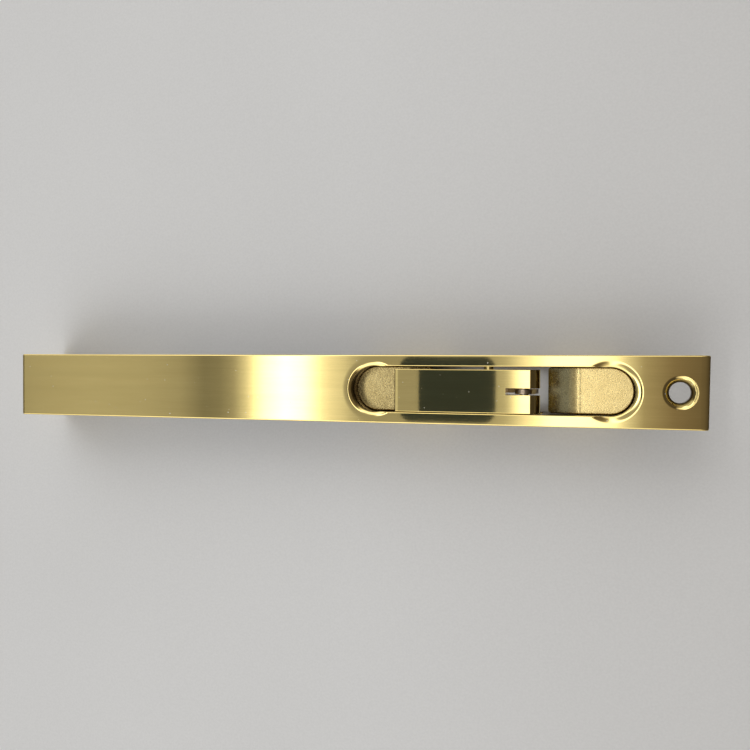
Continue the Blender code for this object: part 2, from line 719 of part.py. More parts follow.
def make_rod_spring(finish):
    """A leaf with a flat foot on the plate, which runs down to the rod and turns up at its toe."""
    foot_z = SEAT_Z - SPRING_THICKNESS / 2
    toe_z = ROD_TOP_Z + GAP + SPRING_THICKNESS / 2
    start, bend = SPRING_FOOT_X
    contact = SPRING_CONTACT_X
    path = [(start, foot_z), (bend, foot_z)]
    steps = 12
    for i in range(1, steps + 1):
        t = i / steps
        drop = (1 - math.cos(math.pi * t)) / 2
        path.append((bend + (contact - bend) * t, foot_z + (toe_z - foot_z) * drop))
    for i in range(1, 5):
        t = i / 4
        path.append((contact + (SPRING_TOE_X - contact) * t, toe_z + SPRING_TOE_LIFT * t * t))
    outline = flat_strip(path, SPRING_THICKNESS / 2)
    spring = outline_solid("rod_spring", outline, -SPRING_WIDTH / 2, SPRING_WIDTH / 2, "XZ")
    cut(spring, upright_holes("spring_hole_cutter", spring_seats(), SCREW_RADIUS))
    return as_part(spring, finish)


def flat_strip(path, half):
    """The outline of a strip of even thickness along a path, with square ends."""
    top = []
    bottom = []
    for i, point in enumerate(path):
        before = path[max(i - 1, 0)]
        after = path[min(i + 1, len(path) - 1)]
        direction = Vector((after[0] - before[0], after[1] - before[1])).normalized()
        top.append((point[0] - direction.y * half, point[1] + direction.x * half))
        bottom.append((point[0] + direction.y * half, point[1] - direction.x * half))
    return top + bottom[::-1]


def screw_profile(length, radius, head_radius, head_height):
    """A screw's profile: the underside of its head is at 0, and the shank runs up."""
    rounding = 0.3 * head_height
    return [
        (0, -head_height),
        (head_radius - rounding, -head_height),
        (head_radius, -head_height + rounding),
        (head_radius, 0),
        (radius, 0),
        (radius, length),
        (0, length),
    ]


def plate_screws(name, seats, underside, finish):
    """Screws from behind into the faceplate, through a piece whose back is at the given level."""
    top = PLATE_BACK_Z + SCREW_HOLE_DEPTH - PIN_GAP
    head_seat = underside - GAP
    profile = screw_profile(top - head_seat, SCREW_RADIUS, SCREW_HEAD_RADIUS, SCREW_HEAD_HEIGHT)
    places = [Matrix.Translation((x, y, head_seat)) for x, y in seats]
    turned_set(name, profile, places, finish)


def make_floor_screws(finish):
    """Small screws through the housing's two sides into the recess floors."""
    seat = HOUSING_OUTER + GAP
    tip = HOUSING_INNER - GAP - SMALL_SCREW_BITE
    profile = screw_profile(
        seat - tip, SMALL_SCREW_RADIUS, SMALL_SCREW_HEAD_RADIUS, SMALL_SCREW_HEAD_HEIGHT
    )
    places = []
    for y in SIDES:
        turn = Matrix.Rotation(math.radians(90 * y), 4, "X")
        places += [Matrix.Translation((x, y * seat, FLOOR_SCREW_Z)) @ turn for x in floor_screw_xs()]
    turned_set("recess_floor_screw", profile, places, finish, segments=16)


def make_flush_bolt():
    polished = material("polished_brass", (0.80, 0.66, 0.32), 0.22)
    cast = material("cast_brass", (0.62, 0.50, 0.27), 0.55)
    steel = material("zinc_plated_steel", (0.55, 0.55, 0.53), 0.35)
    spring_metal = material("spring_bronze", (0.60, 0.42, 0.22), 0.35)

    make_faceplate(polished)
    make_housing(cast)
    make_recess_floor(-1, "left_recess_floor", cast)
    make_recess_floor(1, "right_recess_floor", cast)
    make_floor_screws(steel)
    plate_screws("housing_screw", housing_seats(), SEAT_Z - HOUSING_LUG_THICKNESS, steel)

    make_lever(polished)
    pin("lever_pivot_pin", PIVOT_X, PIVOT_Z, -HOUSING_OUTER, HOUSING_OUTER, PIVOT_PIN_RADIUS, polished)
    reach = LEVER_WIDTH / 2 - CRANK_PIN_INSET
    pin("crank_pin", CRANK_X, PIVOT_Z, LEVER_Y - reach, LEVER_Y + reach, CRANK_PIN_RADIUS, steel)
    make_link(steel)
    reach = ROD_WIDTH / 2 - CRANK_PIN_INSET
    pin("rod_pin", ROD_PIN_X, ROD_PIN_Z, -reach, reach, CRANK_PIN_RADIUS, steel)

    make_rod(steel)
    make_bolt(polished)
    make_rod_rivets(steel)

    make_rod_guide(steel)
    plate_screws("rod_guide_screw", guide_seats(), SEAT_Z - GUIDE_SHEET, steel)
    make_end_guide(cast)
    plate_screws("end_guide_screw", end_seats(), END_BLOCK_BOTTOM_Z, steel)
    make_rod_spring(spring_metal)
    plate_screws("rod_spring_screw", spring_seats(), SEAT_Z - SPRING_THICKNESS, steel)


start_scene()
make_flush_bolt()
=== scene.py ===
"""Looks of the lever flush bolt: fine brass and steel pieces round the CAD frame, on a pale table."""

import json
import math

import bmesh
import bpy
from mathutils import Matrix, Vector

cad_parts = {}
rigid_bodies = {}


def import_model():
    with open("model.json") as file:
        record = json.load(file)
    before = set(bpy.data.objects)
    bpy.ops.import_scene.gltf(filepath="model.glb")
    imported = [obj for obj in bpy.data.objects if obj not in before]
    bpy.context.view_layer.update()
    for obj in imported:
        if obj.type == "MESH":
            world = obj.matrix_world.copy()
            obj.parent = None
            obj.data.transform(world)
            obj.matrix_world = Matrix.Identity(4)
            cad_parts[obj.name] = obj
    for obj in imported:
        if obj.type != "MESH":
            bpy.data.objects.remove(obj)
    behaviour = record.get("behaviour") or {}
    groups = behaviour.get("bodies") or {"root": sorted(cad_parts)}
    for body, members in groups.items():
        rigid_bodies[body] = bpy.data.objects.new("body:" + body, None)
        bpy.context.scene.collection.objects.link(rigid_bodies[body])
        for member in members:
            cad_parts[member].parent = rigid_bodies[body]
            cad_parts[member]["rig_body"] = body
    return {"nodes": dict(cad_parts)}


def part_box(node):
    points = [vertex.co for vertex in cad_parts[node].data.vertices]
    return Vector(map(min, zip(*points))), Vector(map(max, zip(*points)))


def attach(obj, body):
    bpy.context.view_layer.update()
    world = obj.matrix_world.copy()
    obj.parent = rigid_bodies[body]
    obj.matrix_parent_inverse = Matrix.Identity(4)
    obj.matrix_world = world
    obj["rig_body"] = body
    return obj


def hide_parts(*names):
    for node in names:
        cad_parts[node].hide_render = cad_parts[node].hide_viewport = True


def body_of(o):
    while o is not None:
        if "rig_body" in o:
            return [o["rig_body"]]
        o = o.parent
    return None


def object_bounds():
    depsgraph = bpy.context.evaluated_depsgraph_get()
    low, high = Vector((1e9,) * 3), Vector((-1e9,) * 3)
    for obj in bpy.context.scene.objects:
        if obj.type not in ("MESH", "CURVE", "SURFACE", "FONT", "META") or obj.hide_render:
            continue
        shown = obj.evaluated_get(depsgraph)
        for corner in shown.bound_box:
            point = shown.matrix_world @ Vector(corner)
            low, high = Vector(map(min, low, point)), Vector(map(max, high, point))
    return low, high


MM = 0.001
WHITE = (1.0, 1.0, 1.0)
WARM = (1.0, 0.93, 0.85)
BROWN = (1.0, 0.84, 0.72)

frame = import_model()
cad_low, cad_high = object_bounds()


# ---------------------------------------------------------------- places read from the frame


def middle(node):
    """The middle of a CAD node's box."""
    low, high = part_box(node)
    return (low + high) / 2


PLATE_LOW, PLATE_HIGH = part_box("faceplate")
LEVER_LOW, LEVER_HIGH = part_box("lever")
PIVOT = middle("lever_pivot_pin")
CRANK = middle("crank_pin")
ROD_PIN = middle("rod_pin")

# Sizes that boxes don't give. Each dictionary has the left side as -1 and the right side as 1
SLOT_RADIUS = 6.4 * MM
SLOT_ENDS = {-1: -32.2 * MM, 1: 31.75 * MM}
SLOT_EDGE_ROUNDING = 0.28 * MM
DISH_CENTRES = {-1: -31.75 * MM, 1: 31.75 * MM}
DISH_RIMS = {-1: 9.20 * MM, 1: 8.30 * MM}
WOOD_SCREW = Vector((94.5 * MM, 0, 0))
WOOD_SCREW_RADIUS = 2.7 * MM
COUNTERSINK_RADIUS = 4.1 * MM
COUNTERSINK_RIM = 0.30 * MM
COUNTERSINK_DEPTH = 0.9 * MM
PIVOT_HOLE_RADIUS = 1.45 * MM
PIVOT_GROOVE_REACH = 8.7 * MM
SMALL_PIN_HOLE_RADIUS = 1.35 * MM
LINK_SLOT_HALF = 0.95 * MM
LINK_SLOT_FROM_PIVOT = 4.8 * MM
LINK_EYE_RADIUS = 2.5 * MM
LINK_NECK_HALF = 1.6 * MM
LEVER_EXTRA_LENGTH = 0.45 * MM
LEVER_NOSE = 2.5 * MM
FLOOR_SLOPE_LENGTHS = {-1: 6.6 * MM, 1: 8.1 * MM}
FLOOR_DROPS = {-1: 1.3 * MM, 1: 2.9 * MM}
FLOOR_CREASES = {-1: 0.5 * MM, 1: 1.0 * MM}
# How far a cutter across the bolt reaches to either side of its middle line
CUT = 10 * MM


# ---------------------------------------------------------------- mesh helpers


def piece_from(name, shape):
    """Makes a scene object of a bmesh, with its faces pointing out."""
    bmesh.ops.recalc_face_normals(shape, faces=shape.faces)
    mesh = bpy.data.meshes.new(name)
    shape.to_mesh(mesh)
    shape.free()
    piece = bpy.data.objects.new(name, mesh)
    bpy.context.scene.collection.objects.link(piece)
    return piece


def loft(name, loops):
    """A closed solid through a stack of loops that have the same number of points."""
    shape = bmesh.new()
    rings = [[shape.verts.new(point) for point in loop] for loop in loops]
    for ring, after in zip(rings, rings[1:]):
        for i in range(len(ring)):
            j = (i + 1) % len(ring)
            shape.faces.new((ring[i], ring[j], after[j], after[i]))
    shape.faces.new(rings[0])
    shape.faces.new(rings[-1])
    return piece_from(name, shape)


PLANES = {
    "XY": lambda a, b, c: (a, b, c),
    "XZ": lambda a, b, c: (a, c, b),
}


def prism(name, outline, low, high, plane):
    """A flat outline made into a solid between two levels on the axis across its plane."""
    place = PLANES[plane]
    return loft(name, [[place(a, b, level) for a, b in outline] for level in (low, high)])


def box(name, low, high):
    """A box between two corners."""
    outline = [(low[0], low[1]), (high[0], low[1]), (high[0], high[1]), (low[0], high[1])]
    return prism(name, outline, low[2], high[2], "XY")


def lathe(name, profile, place=None, segments=64):
    """A turned solid: a (radius, height) profile about Z, closed on the axis, then moved by a matrix."""
    shape = bmesh.new()
    rings = []
    for radius, height in profile:
        count = 1 if radius < 1e-9 else segments
        ring = []
        for i in range(count):
            angle = math.tau * i / segments
            ring.append(shape.verts.new((radius * math.cos(angle), radius * math.sin(angle), height)))
        rings.append(ring)
    for ring, after in zip(rings, rings[1:]):
        for i in range(segments):
            j = (i + 1) % segments
            corners = [ring[i % len(ring)], ring[j % len(ring)]]
            corners += [after[j % len(after)], after[i % len(after)]]
            unique = [corner for n, corner in enumerate(corners) if corner not in corners[:n]]
            if len(unique) > 2:
                shape.faces.new(unique)
    piece = piece_from(name, shape)
    if place is not None:
        piece.data.transform(place)
    return piece


# What turns a lathe's Z axis onto each axis that is used
AXES = {
    "Y": Matrix.Rotation(math.radians(-90), 4, "X"),
    "Z": Matrix.Identity(4),
}


def cylinder(name, axis, centre, radius, low, high, segments=64):
    """A cylinder along an axis through a centre, between two levels on that axis."""
    base = Vector(centre)
    base["XYZ".index(axis)] = 0
    profile = [(0, low), (radius, low), (radius, high), (0, high)]
    return lathe(name, profile, Matrix.Translation(base) @ AXES[axis], segments)


def apply_modifiers(piece):
    """Replaces a piece's mesh with its evaluated mesh."""
    bpy.context.view_layer.update()
    evaluated = piece.evaluated_get(bpy.context.evaluated_depsgraph_get())
    mesh = bpy.data.meshes.new_from_object(evaluated)
    old = piece.data
    piece.modifiers.clear()
    piece.data = mesh
    bpy.data.meshes.remove(old)


def carve(piece, *cutters, operation="DIFFERENCE"):
    """Cuts, joins or intersects a piece with others, which are used up."""
    for cutter in cutters:
        boolean = piece.modifiers.new("boolean", "BOOLEAN")
        boolean.operation = operation
        boolean.solver = "EXACT"
        boolean.object = cutter
        apply_modifiers(piece)
        bpy.data.objects.remove(cutter)


def round_edges(piece, width, segments, angle):
    """Rounds a piece's edges that are sharper than an angle in degrees."""
    bevel = piece.modifiers.new("rounded edges", "BEVEL")
    bevel.width = width
    bevel.segments = segments
    bevel.limit_method = "ANGLE"
    bevel.angle_limit = math.radians(angle)
    apply_modifiers(piece)


def shade(piece, angle=28):
    """Shades a piece smooth between its sharp edges, with its large faces kept flat."""
    piece.data.shade_smooth()
    piece.data.set_sharp_from_angle(angle=math.radians(angle))
    weighted = piece.modifiers.new("flat faces", "WEIGHTED_NORMAL")
    weighted.keep_sharp = True
    weighted.weight = 90


def arc(centre, radius, start, end, steps):
    """Points on an arc from one angle to another, in degrees, both ends included."""
    angles = [math.radians(start + (end - start) * i / steps) for i in range(steps + 1)]
    return [(centre[0] + radius * math.cos(a), centre[1] + radius * math.sin(a)) for a in angles]


def rounded_rectangle(low, high, radius, steps=4):
    """The outline of a rectangle with round corners."""
    left, right = low[0] + radius, high[0] - radius
    bottom, top = low[1] + radius, high[1] - radius
    points = []
    for i, centre in enumerate(((right, top), (left, top), (left, bottom), (right, bottom))):
        points += arc(centre, radius, 90 * i, 90 * i + 90, steps)
    return points


def stadium(radius):
    """The outline of the slot, or of one round it, with the given radius at its ends."""
    right = arc((PIVOT.x + SLOT_ENDS[1], 0), radius, -90, 90, 32)
    left = arc((PIVOT.x + SLOT_ENDS[-1], 0), radius, 90, 270, 32)
    return right + left


def stroke(path, widths):
    """The outline of a path drawn with the given half widths, with round ends."""
    left = []
    right = []
    for i, (point, width) in enumerate(zip(path, widths)):
        before = path[max(i - 1, 0)]
        after = path[min(i + 1, len(path) - 1)]
        direction = Vector((after[0] - before[0], after[1] - before[1])).normalized()
        left.append((point[0] - direction.y * width, point[1] + direction.x * width))
        right.append((point[0] + direction.y * width, point[1] - direction.x * width))

    def cap(centre, first):
        """Half a circle round an end, without its first and last points."""
        start = math.degrees(math.atan2(first[1] - centre[1], first[0] - centre[0]))
        return arc(centre, math.dist(first, centre), start, start - 180, 20)[1:-1]

    return left + cap(path[-1], left[-1]) + right[::-1] + cap(path[0], right[0])


def bezier(a, b, c, d, steps):
    """Points along a cubic Bezier curve."""
    points = []
    for i in range(steps + 1):
        done = i / steps
        left = 1 - done
        points.append(a * left**3 + b * 3 * left**2 * done + c * 3 * left * done**2 + d * done**3)
    return points


def place_piece(piece, material, body, slot, *nodes):
    """Gives a piece its material and its body, and hides the CAD nodes that it stands for. Its slot
    argument is not used.
    """
    piece.data.materials.clear()
    piece.data.materials.append(material)
    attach(piece, body)
    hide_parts(*nodes)
    return piece


# ---------------------------------------------------------------- materials


class Nodes:
    """Short calls that add nodes to a material's or a world's tree."""

    def __init__(self, tree):
        self.tree = tree

    def add(self, kind, **values):
        """A new node, with some of its settings."""
        node = self.tree.nodes.new(kind)
        for name, value in values.items():
            setattr(node, name, value)
        return node

    def link(self, output, socket):
        """Links an output to a socket."""
        self.tree.links.new(output, socket)

    def split(self, vector=None):
        """The X, Y and Z outputs of a vector, or of the object's own coordinates."""
        if vector is None:
            vector = self.add("ShaderNodeTexCoord").outputs["Object"]
        split = self.add("ShaderNodeSeparateXYZ")
        self.link(vector, split.inputs["Vector"])
        return split.outputs

    def coordinates(self, scale):
        """Object coordinates, scaled."""
        place = self.add("ShaderNodeTexCoord")
        mapping = self.add("ShaderNodeMapping")
        mapping.inputs["Scale"].default_value = scale
        self.link(place.outputs["Object"], mapping.inputs["Vector"])
        return mapping.outputs["Vector"]

    def noise(self, scale, detail=3.0, roughness=0.5):
        """Noise whose cells are 1 / scale metres along each axis."""
        noise = self.add("ShaderNodeTexNoise")
        noise.inputs["Scale"].default_value = 1.0
        noise.inputs["Detail"].default_value = detail
        noise.inputs["Roughness"].default_value = roughness
        self.link(self.coordinates(scale), noise.inputs["Vector"])
        return noise.outputs["Fac"]

    def ramp(self, value, *stops):
        """A colour ramp over a value, with (position, colour) stops."""
        ramp = self.add("ShaderNodeValToRGB")
        elements = ramp.color_ramp.elements
        while len(elements) < len(stops):
            elements.new(0.5)
        for element, (position, colour) in zip(elements, stops):
            element.position = position
            element.color = (*colour, 1.0)
        self.link(value, ramp.inputs["Fac"])
        return ramp.outputs["Color"]

    def spread(self, value, low, high, from_low=0.3, from_high=0.7):
        """A value spread from one range, by default the one that noise fills, to the range low to high."""
        spread = self.add("ShaderNodeMapRange")
        numbers = {"From Min": from_low, "From Max": from_high, "To Min": low, "To Max": high}
        for name, number in numbers.items():
            spread.inputs[name].default_value = number
        self.link(value, spread.inputs["Value"])
        return spread.outputs["Result"]

    def math(self, operation, *values):
        """One sum on outputs or numbers."""
        node = self.add("ShaderNodeMath", operation=operation)
        for socket, value in zip(node.inputs, values):
            if isinstance(value, bpy.types.NodeSocket):
                self.link(value, socket)
            else:
                socket.default_value = value
        return node.outputs["Value"]

    def mix(self, factor, first, second, blend="MIX"):
        """Two colours or colour outputs, mixed by a factor that is a number or an output."""
        mix = self.add("ShaderNodeMix", data_type="RGBA", blend_type=blend)
        for socket, value in ((mix.inputs[0], factor), (mix.inputs[6], first), (mix.inputs[7], second)):
            if isinstance(value, bpy.types.NodeSocket):
                self.link(value, socket)
            else:
                socket.default_value = value if isinstance(value, float) else (*value, 1.0)
        return mix.outputs[2]

    def times(self, first, second):
        """Two colours or colour outputs, multiplied."""
        return self.mix(1.0, first, second, "MULTIPLY")

    def bump(self, height, distance, strength=1.0, under=None):
        """A bump of a height over an optional one below it."""
        bump = self.add("ShaderNodeBump")
        bump.inputs["Distance"].default_value = distance
        bump.inputs["Strength"].default_value = strength
        self.link(height, bump.inputs["Height"])
        if under is not None:
            self.link(under, bump.inputs["Normal"])
        return bump.outputs["Normal"]


# The depths on the plate's edges between which painted shade sets in, the painted shade's colour, and the
# rougher finish there
WALL_SHADE_DEPTHS = (-0.8 * MM, -0.2 * MM)
PAINTED_WALL_SHADE = (0.14, 0.125, 0.11)
WALL_ROUGHNESS = 0.4
# Along the plate, where brushing gives way to a mirror polish
BRUSHED_TO_POLISHED = (-75 * MM, -45 * MM)
# Where the housing's pocket gives way to its outside: from the pivot along X, and from the middle along Y
POCKET_ENDS = (39.5 * MM, 40.0 * MM)
POCKET_SIDES = (6.8 * MM, 7.0 * MM)
# Painted shade on the cast brass: in the housing's pocket, and on a floor's slope
POCKET_PAINTED_SHADE = (0.30, 0.25, 0.21)
SLOPE_PAINTED_SHADE = (0.60, 0.68, 0.85)


def new_material(name, metallic=1.0):
    """An empty Principled material, with its node helper and its shader."""
    material = bpy.data.materials.new(name)
    material.use_nodes = True
    nodes = Nodes(material.node_tree)
    shader = material.node_tree.nodes["Principled BSDF"]
    shader.inputs["Metallic"].default_value = metallic
    return material, nodes, shader


def polished_brass(name, shaded_walls=False):
    """Lacquered brass: brushed lengthwise towards the bolt's end, mirror polished round the lever, with
    painted shade on the walls below the front where asked.
    """
    material, nodes, shader = new_material(name)
    hairlines = nodes.noise((70, 6000, 6000), detail=4, roughness=0.6)
    bands = nodes.noise((14, 420, 420), detail=3)
    clouds = nodes.noise((60, 160, 160), detail=3)
    fine = nodes.ramp(hairlines, (0.3, (0.83, 0.655, 0.255)), (0.7, (0.89, 0.71, 0.29)))
    tint = nodes.ramp(bands, (0.35, (0.95, 0.95, 0.94)), (0.65, (1.0, 1.0, 1.0)))
    tint = nodes.times(tint, nodes.ramp(clouds, (0.3, (0.97, 0.96, 0.94)), (0.7, (1, 1, 1))))
    clean = nodes.times(fine, tint)
    # A few specks of dust
    specks = nodes.spread(nodes.noise((1300, 1300, 1300), detail=1), 0.0, 1.0, 0.765, 0.80)
    colour = nodes.mix(specks, clean, (0.75, 0.74, 0.66))
    place = nodes.split()
    if shaded_walls:
        # Painted shade darkens the plate's edges and the cut walls of its openings below the front, which
        # also get a rougher finish
        depth = nodes.spread(place["Z"], 1.0, 0.0, *WALL_SHADE_DEPTHS)
        colour = nodes.mix(depth, colour, nodes.times(colour, PAINTED_WALL_SHADE))
    nodes.link(colour, shader.inputs["Base Color"])
    brushed = nodes.spread(place["X"], 1.0, 0.0, *BRUSHED_TO_POLISHED)
    satin = nodes.spread(hairlines, 0.13, 0.20)
    mirror = nodes.spread(hairlines, 0.02, 0.05)
    worn = nodes.math("MULTIPLY_ADD", brushed, nodes.math("SUBTRACT", satin, mirror), mirror)
    rough = nodes.math("MAXIMUM", worn, nodes.math("MULTIPLY", specks, 0.5))
    if shaded_walls:
        rough = nodes.math("MAXIMUM", rough, nodes.math("MULTIPLY", depth, WALL_ROUGHNESS))
    nodes.link(rough, shader.inputs["Roughness"])
    waves = nodes.noise((45, 70, 70), detail=1)
    wavy = nodes.bump(waves, 0.00003, 0.10)
    nodes.link(nodes.bump(hairlines, 0.0000002, 0.5, wavy), shader.inputs["Normal"])
    return material


def cast_brass(name, level, grain, shade_from=None, shade_pocket=False):
    """Cast brass with a fine satin grain, with painted shade below a depth and inside the housing's pocket,
    where asked.
    """
    material, nodes, shader = new_material(name)
    grains = nodes.noise((2600, 2600, 2600), detail=4, roughness=0.65)
    lumps = nodes.noise((800, 800, 800), detail=3)
    stains = nodes.noise((240, 240, 240), detail=4, roughness=0.6)
    tint = nodes.ramp(stains, (0.3, (0.76, 0.585, 0.25)), (0.7, (0.88, 0.70, 0.32)))
    speck = nodes.ramp(grains, (0.32, (0.70, 0.68, 0.62)), (0.6, (1.0, 1.0, 1.0)))
    colour = nodes.times(nodes.mix(0.85, tint, speck, "MULTIPLY"), (level, level, level))
    place = nodes.split()
    if shade_pocket:
        # Painted shade on the walls of the pocket that the lever turns in
        from_pivot = nodes.math("ABSOLUTE", nodes.math("SUBTRACT", place["X"], PIVOT.x))
        in_length = nodes.spread(from_pivot, 1.0, 0.0, *POCKET_ENDS)
        in_width = nodes.spread(nodes.math("ABSOLUTE", place["Y"]), 1.0, 0.0, *POCKET_SIDES)
        inside = nodes.math("MULTIPLY", in_length, in_width)
        colour = nodes.mix(inside, colour, nodes.times(colour, POCKET_PAINTED_SHADE))
    if shade_from is not None:
        # Painted shade on the floor's slope, below a depth
        depth = nodes.spread(place["Z"], 1.0, 0.0, shade_from - 0.7 * MM, shade_from)
        colour = nodes.mix(depth, colour, nodes.times(colour, SLOPE_PAINTED_SHADE))
    nodes.link(colour, shader.inputs["Base Color"])
    nodes.link(nodes.spread(grains, 0.16, 0.32), shader.inputs["Roughness"])
    low = nodes.bump(lumps, 0.00004, 0.12)
    nodes.link(nodes.bump(grains, 0.00004, grain, low), shader.inputs["Normal"])
    return material


def plated_steel(name, dark, light, roughness):
    """Plated metal with the fine marks of rolling or turning."""
    material, nodes, shader = new_material(name)
    marks = nodes.noise((300, 5000, 5000), detail=4, roughness=0.6)
    clouds = nodes.noise((400, 400, 400), detail=3)
    fine = nodes.ramp(marks, (0.3, dark), (0.7, light))
    tint = nodes.ramp(clouds, (0.35, (0.86, 0.87, 0.88)), (0.65, (1.0, 1.0, 1.0)))
    nodes.link(nodes.times(fine, tint), shader.inputs["Base Color"])
    nodes.link(nodes.spread(clouds, roughness * 0.8, roughness * 1.25), shader.inputs["Roughness"])
    nodes.link(nodes.bump(marks, 0.000006, 0.4), shader.inputs["Normal"])
    return material


def table_top():
    """Pale grey laminate with a faint grain, and painted shade that makes it a little darker towards the
    right.
    """
    material, nodes, shader = new_material("table_top", metallic=0.0)
    grain = nodes.noise((1500, 1500, 1500), detail=3)
    clouds = nodes.noise((9, 9, 9), detail=2)
    fine = nodes.ramp(grain, (0.3, (0.80, 0.80, 0.79)), (0.7, (0.84, 0.84, 0.83)))
    tint = nodes.ramp(clouds, (0.3, (0.97, 0.97, 0.97)), (0.7, (1.0, 1.0, 1.0)))
    # Painted shade: the light's falloff towards the right
    painted_falloff = nodes.spread(nodes.split()["X"], 0.0, 1.0, 0.0, 0.14)
    tint = nodes.times(tint, nodes.ramp(painted_falloff, (0.0, (1, 1, 1)), (1.0, (0.90, 0.89, 0.88))))
    nodes.link(nodes.times(fine, tint), shader.inputs["Base Color"])
    shader.inputs["Roughness"].default_value = 0.55
    shader.inputs["Specular IOR Level"].default_value = 0.3
    nodes.link(nodes.bump(grain, 0.00002, 0.3), shader.inputs["Normal"])
    return material


BRASS = polished_brass("polished_brass")
PLATE_BRASS = polished_brass("plate_brass", shaded_walls=True)
CAST = cast_brass("cast_brass", level=0.85, grain=0.8, shade_pocket=True)
# Painted shade and painted light: the two floors are copies of one cast brass, darker on the left and
# lighter on the right
FLOOR_CASTS = {
    -1: cast_brass("left_floor_brass", level=0.73, grain=0.6),
    1: cast_brass("right_floor_brass", level=1.10, grain=0.35, shade_from=-6.6 * MM),
}
STEEL = plated_steel("plated_steel", (0.50, 0.50, 0.48), (0.62, 0.62, 0.60), 0.28)
STRIP = plated_steel("steel_strip", (0.46, 0.46, 0.44), (0.58, 0.57, 0.55), 0.34)
DARK_STEEL = plated_steel("bronzed_steel", (0.42, 0.33, 0.24), (0.58, 0.47, 0.35), 0.30)
BRONZE = plated_steel("spring_bronze", (0.52, 0.34, 0.17), (0.64, 0.44, 0.24), 0.30)


# ---------------------------------------------------------------- faceplate and lever


def bar(name, stations, edge):
    """A bar along X through (x, low corner, high corner) stations, with rounded long edges."""
    loops = []
    for x, low, high in stations:
        radius = min(edge, 0.48 * (high[1] - low[1]))
        loops.append([(x, y, z) for y, z in rounded_rectangle(low, high, radius)])
    return loft(name, loops)


def flared_slot_cutter(edge):
    """The slot's cutter, flared at the plate's two faces so that the slot's edges come out rounded."""
    thick = PLATE_HIGH.z - PLATE_LOW.z
    offsets = []
    for degrees in range(12, 91, 13):
        angle = math.radians(degrees)
        offsets.append((edge * (1 - math.sin(angle)), -edge * (1 - math.cos(angle))))
    levels = [(offsets[0][0], 1 * MM)] + offsets
    levels += [(offset, -thick - level) for offset, level in levels[::-1]]
    loops = []
    for offset, level in levels:
        loops.append([(x, y, PLATE_HIGH.z + level) for x, y in stadium(SLOT_RADIUS + offset)])
    return loft("slot_cutter", loops)


# Each stretch of a dish, from the rim inwards: its width in mm, and its first and last slope in degrees
DISH_STRETCHES = {
    -1: ((1.30, 0, 1.2), (0.42, 1.2, 11.5), (0.83, 12, 24), (0.25, 24, 75)),
    1: ((0.32, 0.5, 4), (0.38, 6, 10), (0.70, 11, 13.8), (0.40, 15, 24), (0.10, 30, 75)),
}


def dish_cutter(side):
    """The finger dish round one end of the slot: an eased rim, a hollow, and a lip down into the slot."""
    radius = DISH_RIMS[side]
    profile = [(0, 1 * MM), (radius, 1 * MM), (radius, 0)]
    depth = 0
    steps = 6
    for width, first, last in DISH_STRETCHES[side]:
        for i in range(steps):
            slope = math.radians(first + (last - first) * (i + 0.5) / steps)
            depth += math.tan(slope) * width * MM / steps
            radius -= width * MM / steps
            profile.append((radius, -depth))
    profile += [(radius - 0.8 * MM, -depth - 0.6 * MM), (0, -depth - 0.6 * MM)]
    centre = (PIVOT.x + DISH_CENTRES[side], 0, PLATE_HIGH.z)
    return lathe("dish_cutter", profile, Matrix.Translation(centre), 128)


# The countersink's rings, from the rim inwards: the width in mm and the slope in degrees
COUNTERSINK_RINGS = ((0.10, 5), (0.05, 11), (0.12, 12.5), (0.12, 25), (0.22, 20), (0.05, 13), (0.14, 12))


def countersink_cutter():
    """The wood screw hole's cutter, with a rounded rim, and a rounded step down to the hole."""
    hole = WOOD_SCREW_RADIUS
    depth = COUNTERSINK_DEPTH
    through = PLATE_HIGH.z - PLATE_LOW.z + 1 * MM
    radius = COUNTERSINK_RADIUS + COUNTERSINK_RIM
    profile = [(0, 1 * MM), (radius, 1 * MM), (radius, 0)]
    level = 0
    for width, degrees in COUNTERSINK_RINGS:
        radius -= width * MM
        level -= math.tan(math.radians(degrees)) * width * MM
        profile.append((radius, level))
    profile += [(hole + 0.16 * MM, -depth), (hole + 0.04 * MM, -depth - 0.16 * MM)]
    profile += [(hole, -depth - 0.4 * MM), (hole, -through), (0, -through)]
    place = Matrix.Translation(WOOD_SCREW + Vector((0, 0, PLATE_HIGH.z)))
    return lathe("countersink_cutter", profile, place, 72)


# The plate's worn ends, in mm: the distance from the end, how far the front drops there, and how far the
# sides and the back come in
WORN_LEFT = ((0, 0.30, 0.30), (0.05, 0.16, 0.16), (0.15, 0.07, 0.07), (0.35, 0.015, 0.015), (0.8, 0, 0))
WORN_RIGHT = (
    (2.2, 0, 0),
    (1.7, 0.004, 0),
    (1.2, 0.022, 0),
    (0.8, 0.055, 0.01),
    (0.45, 0.11, 0.03),
    (0.2, 0.19, 0.08),
    (0.05, 0.30, 0.18),
    (0, 0.42, 0.30),
)
# The right end is sawn a little out of square, over its last stretch
SKEW = 0.015
SKEW_LENGTH = 3 * MM


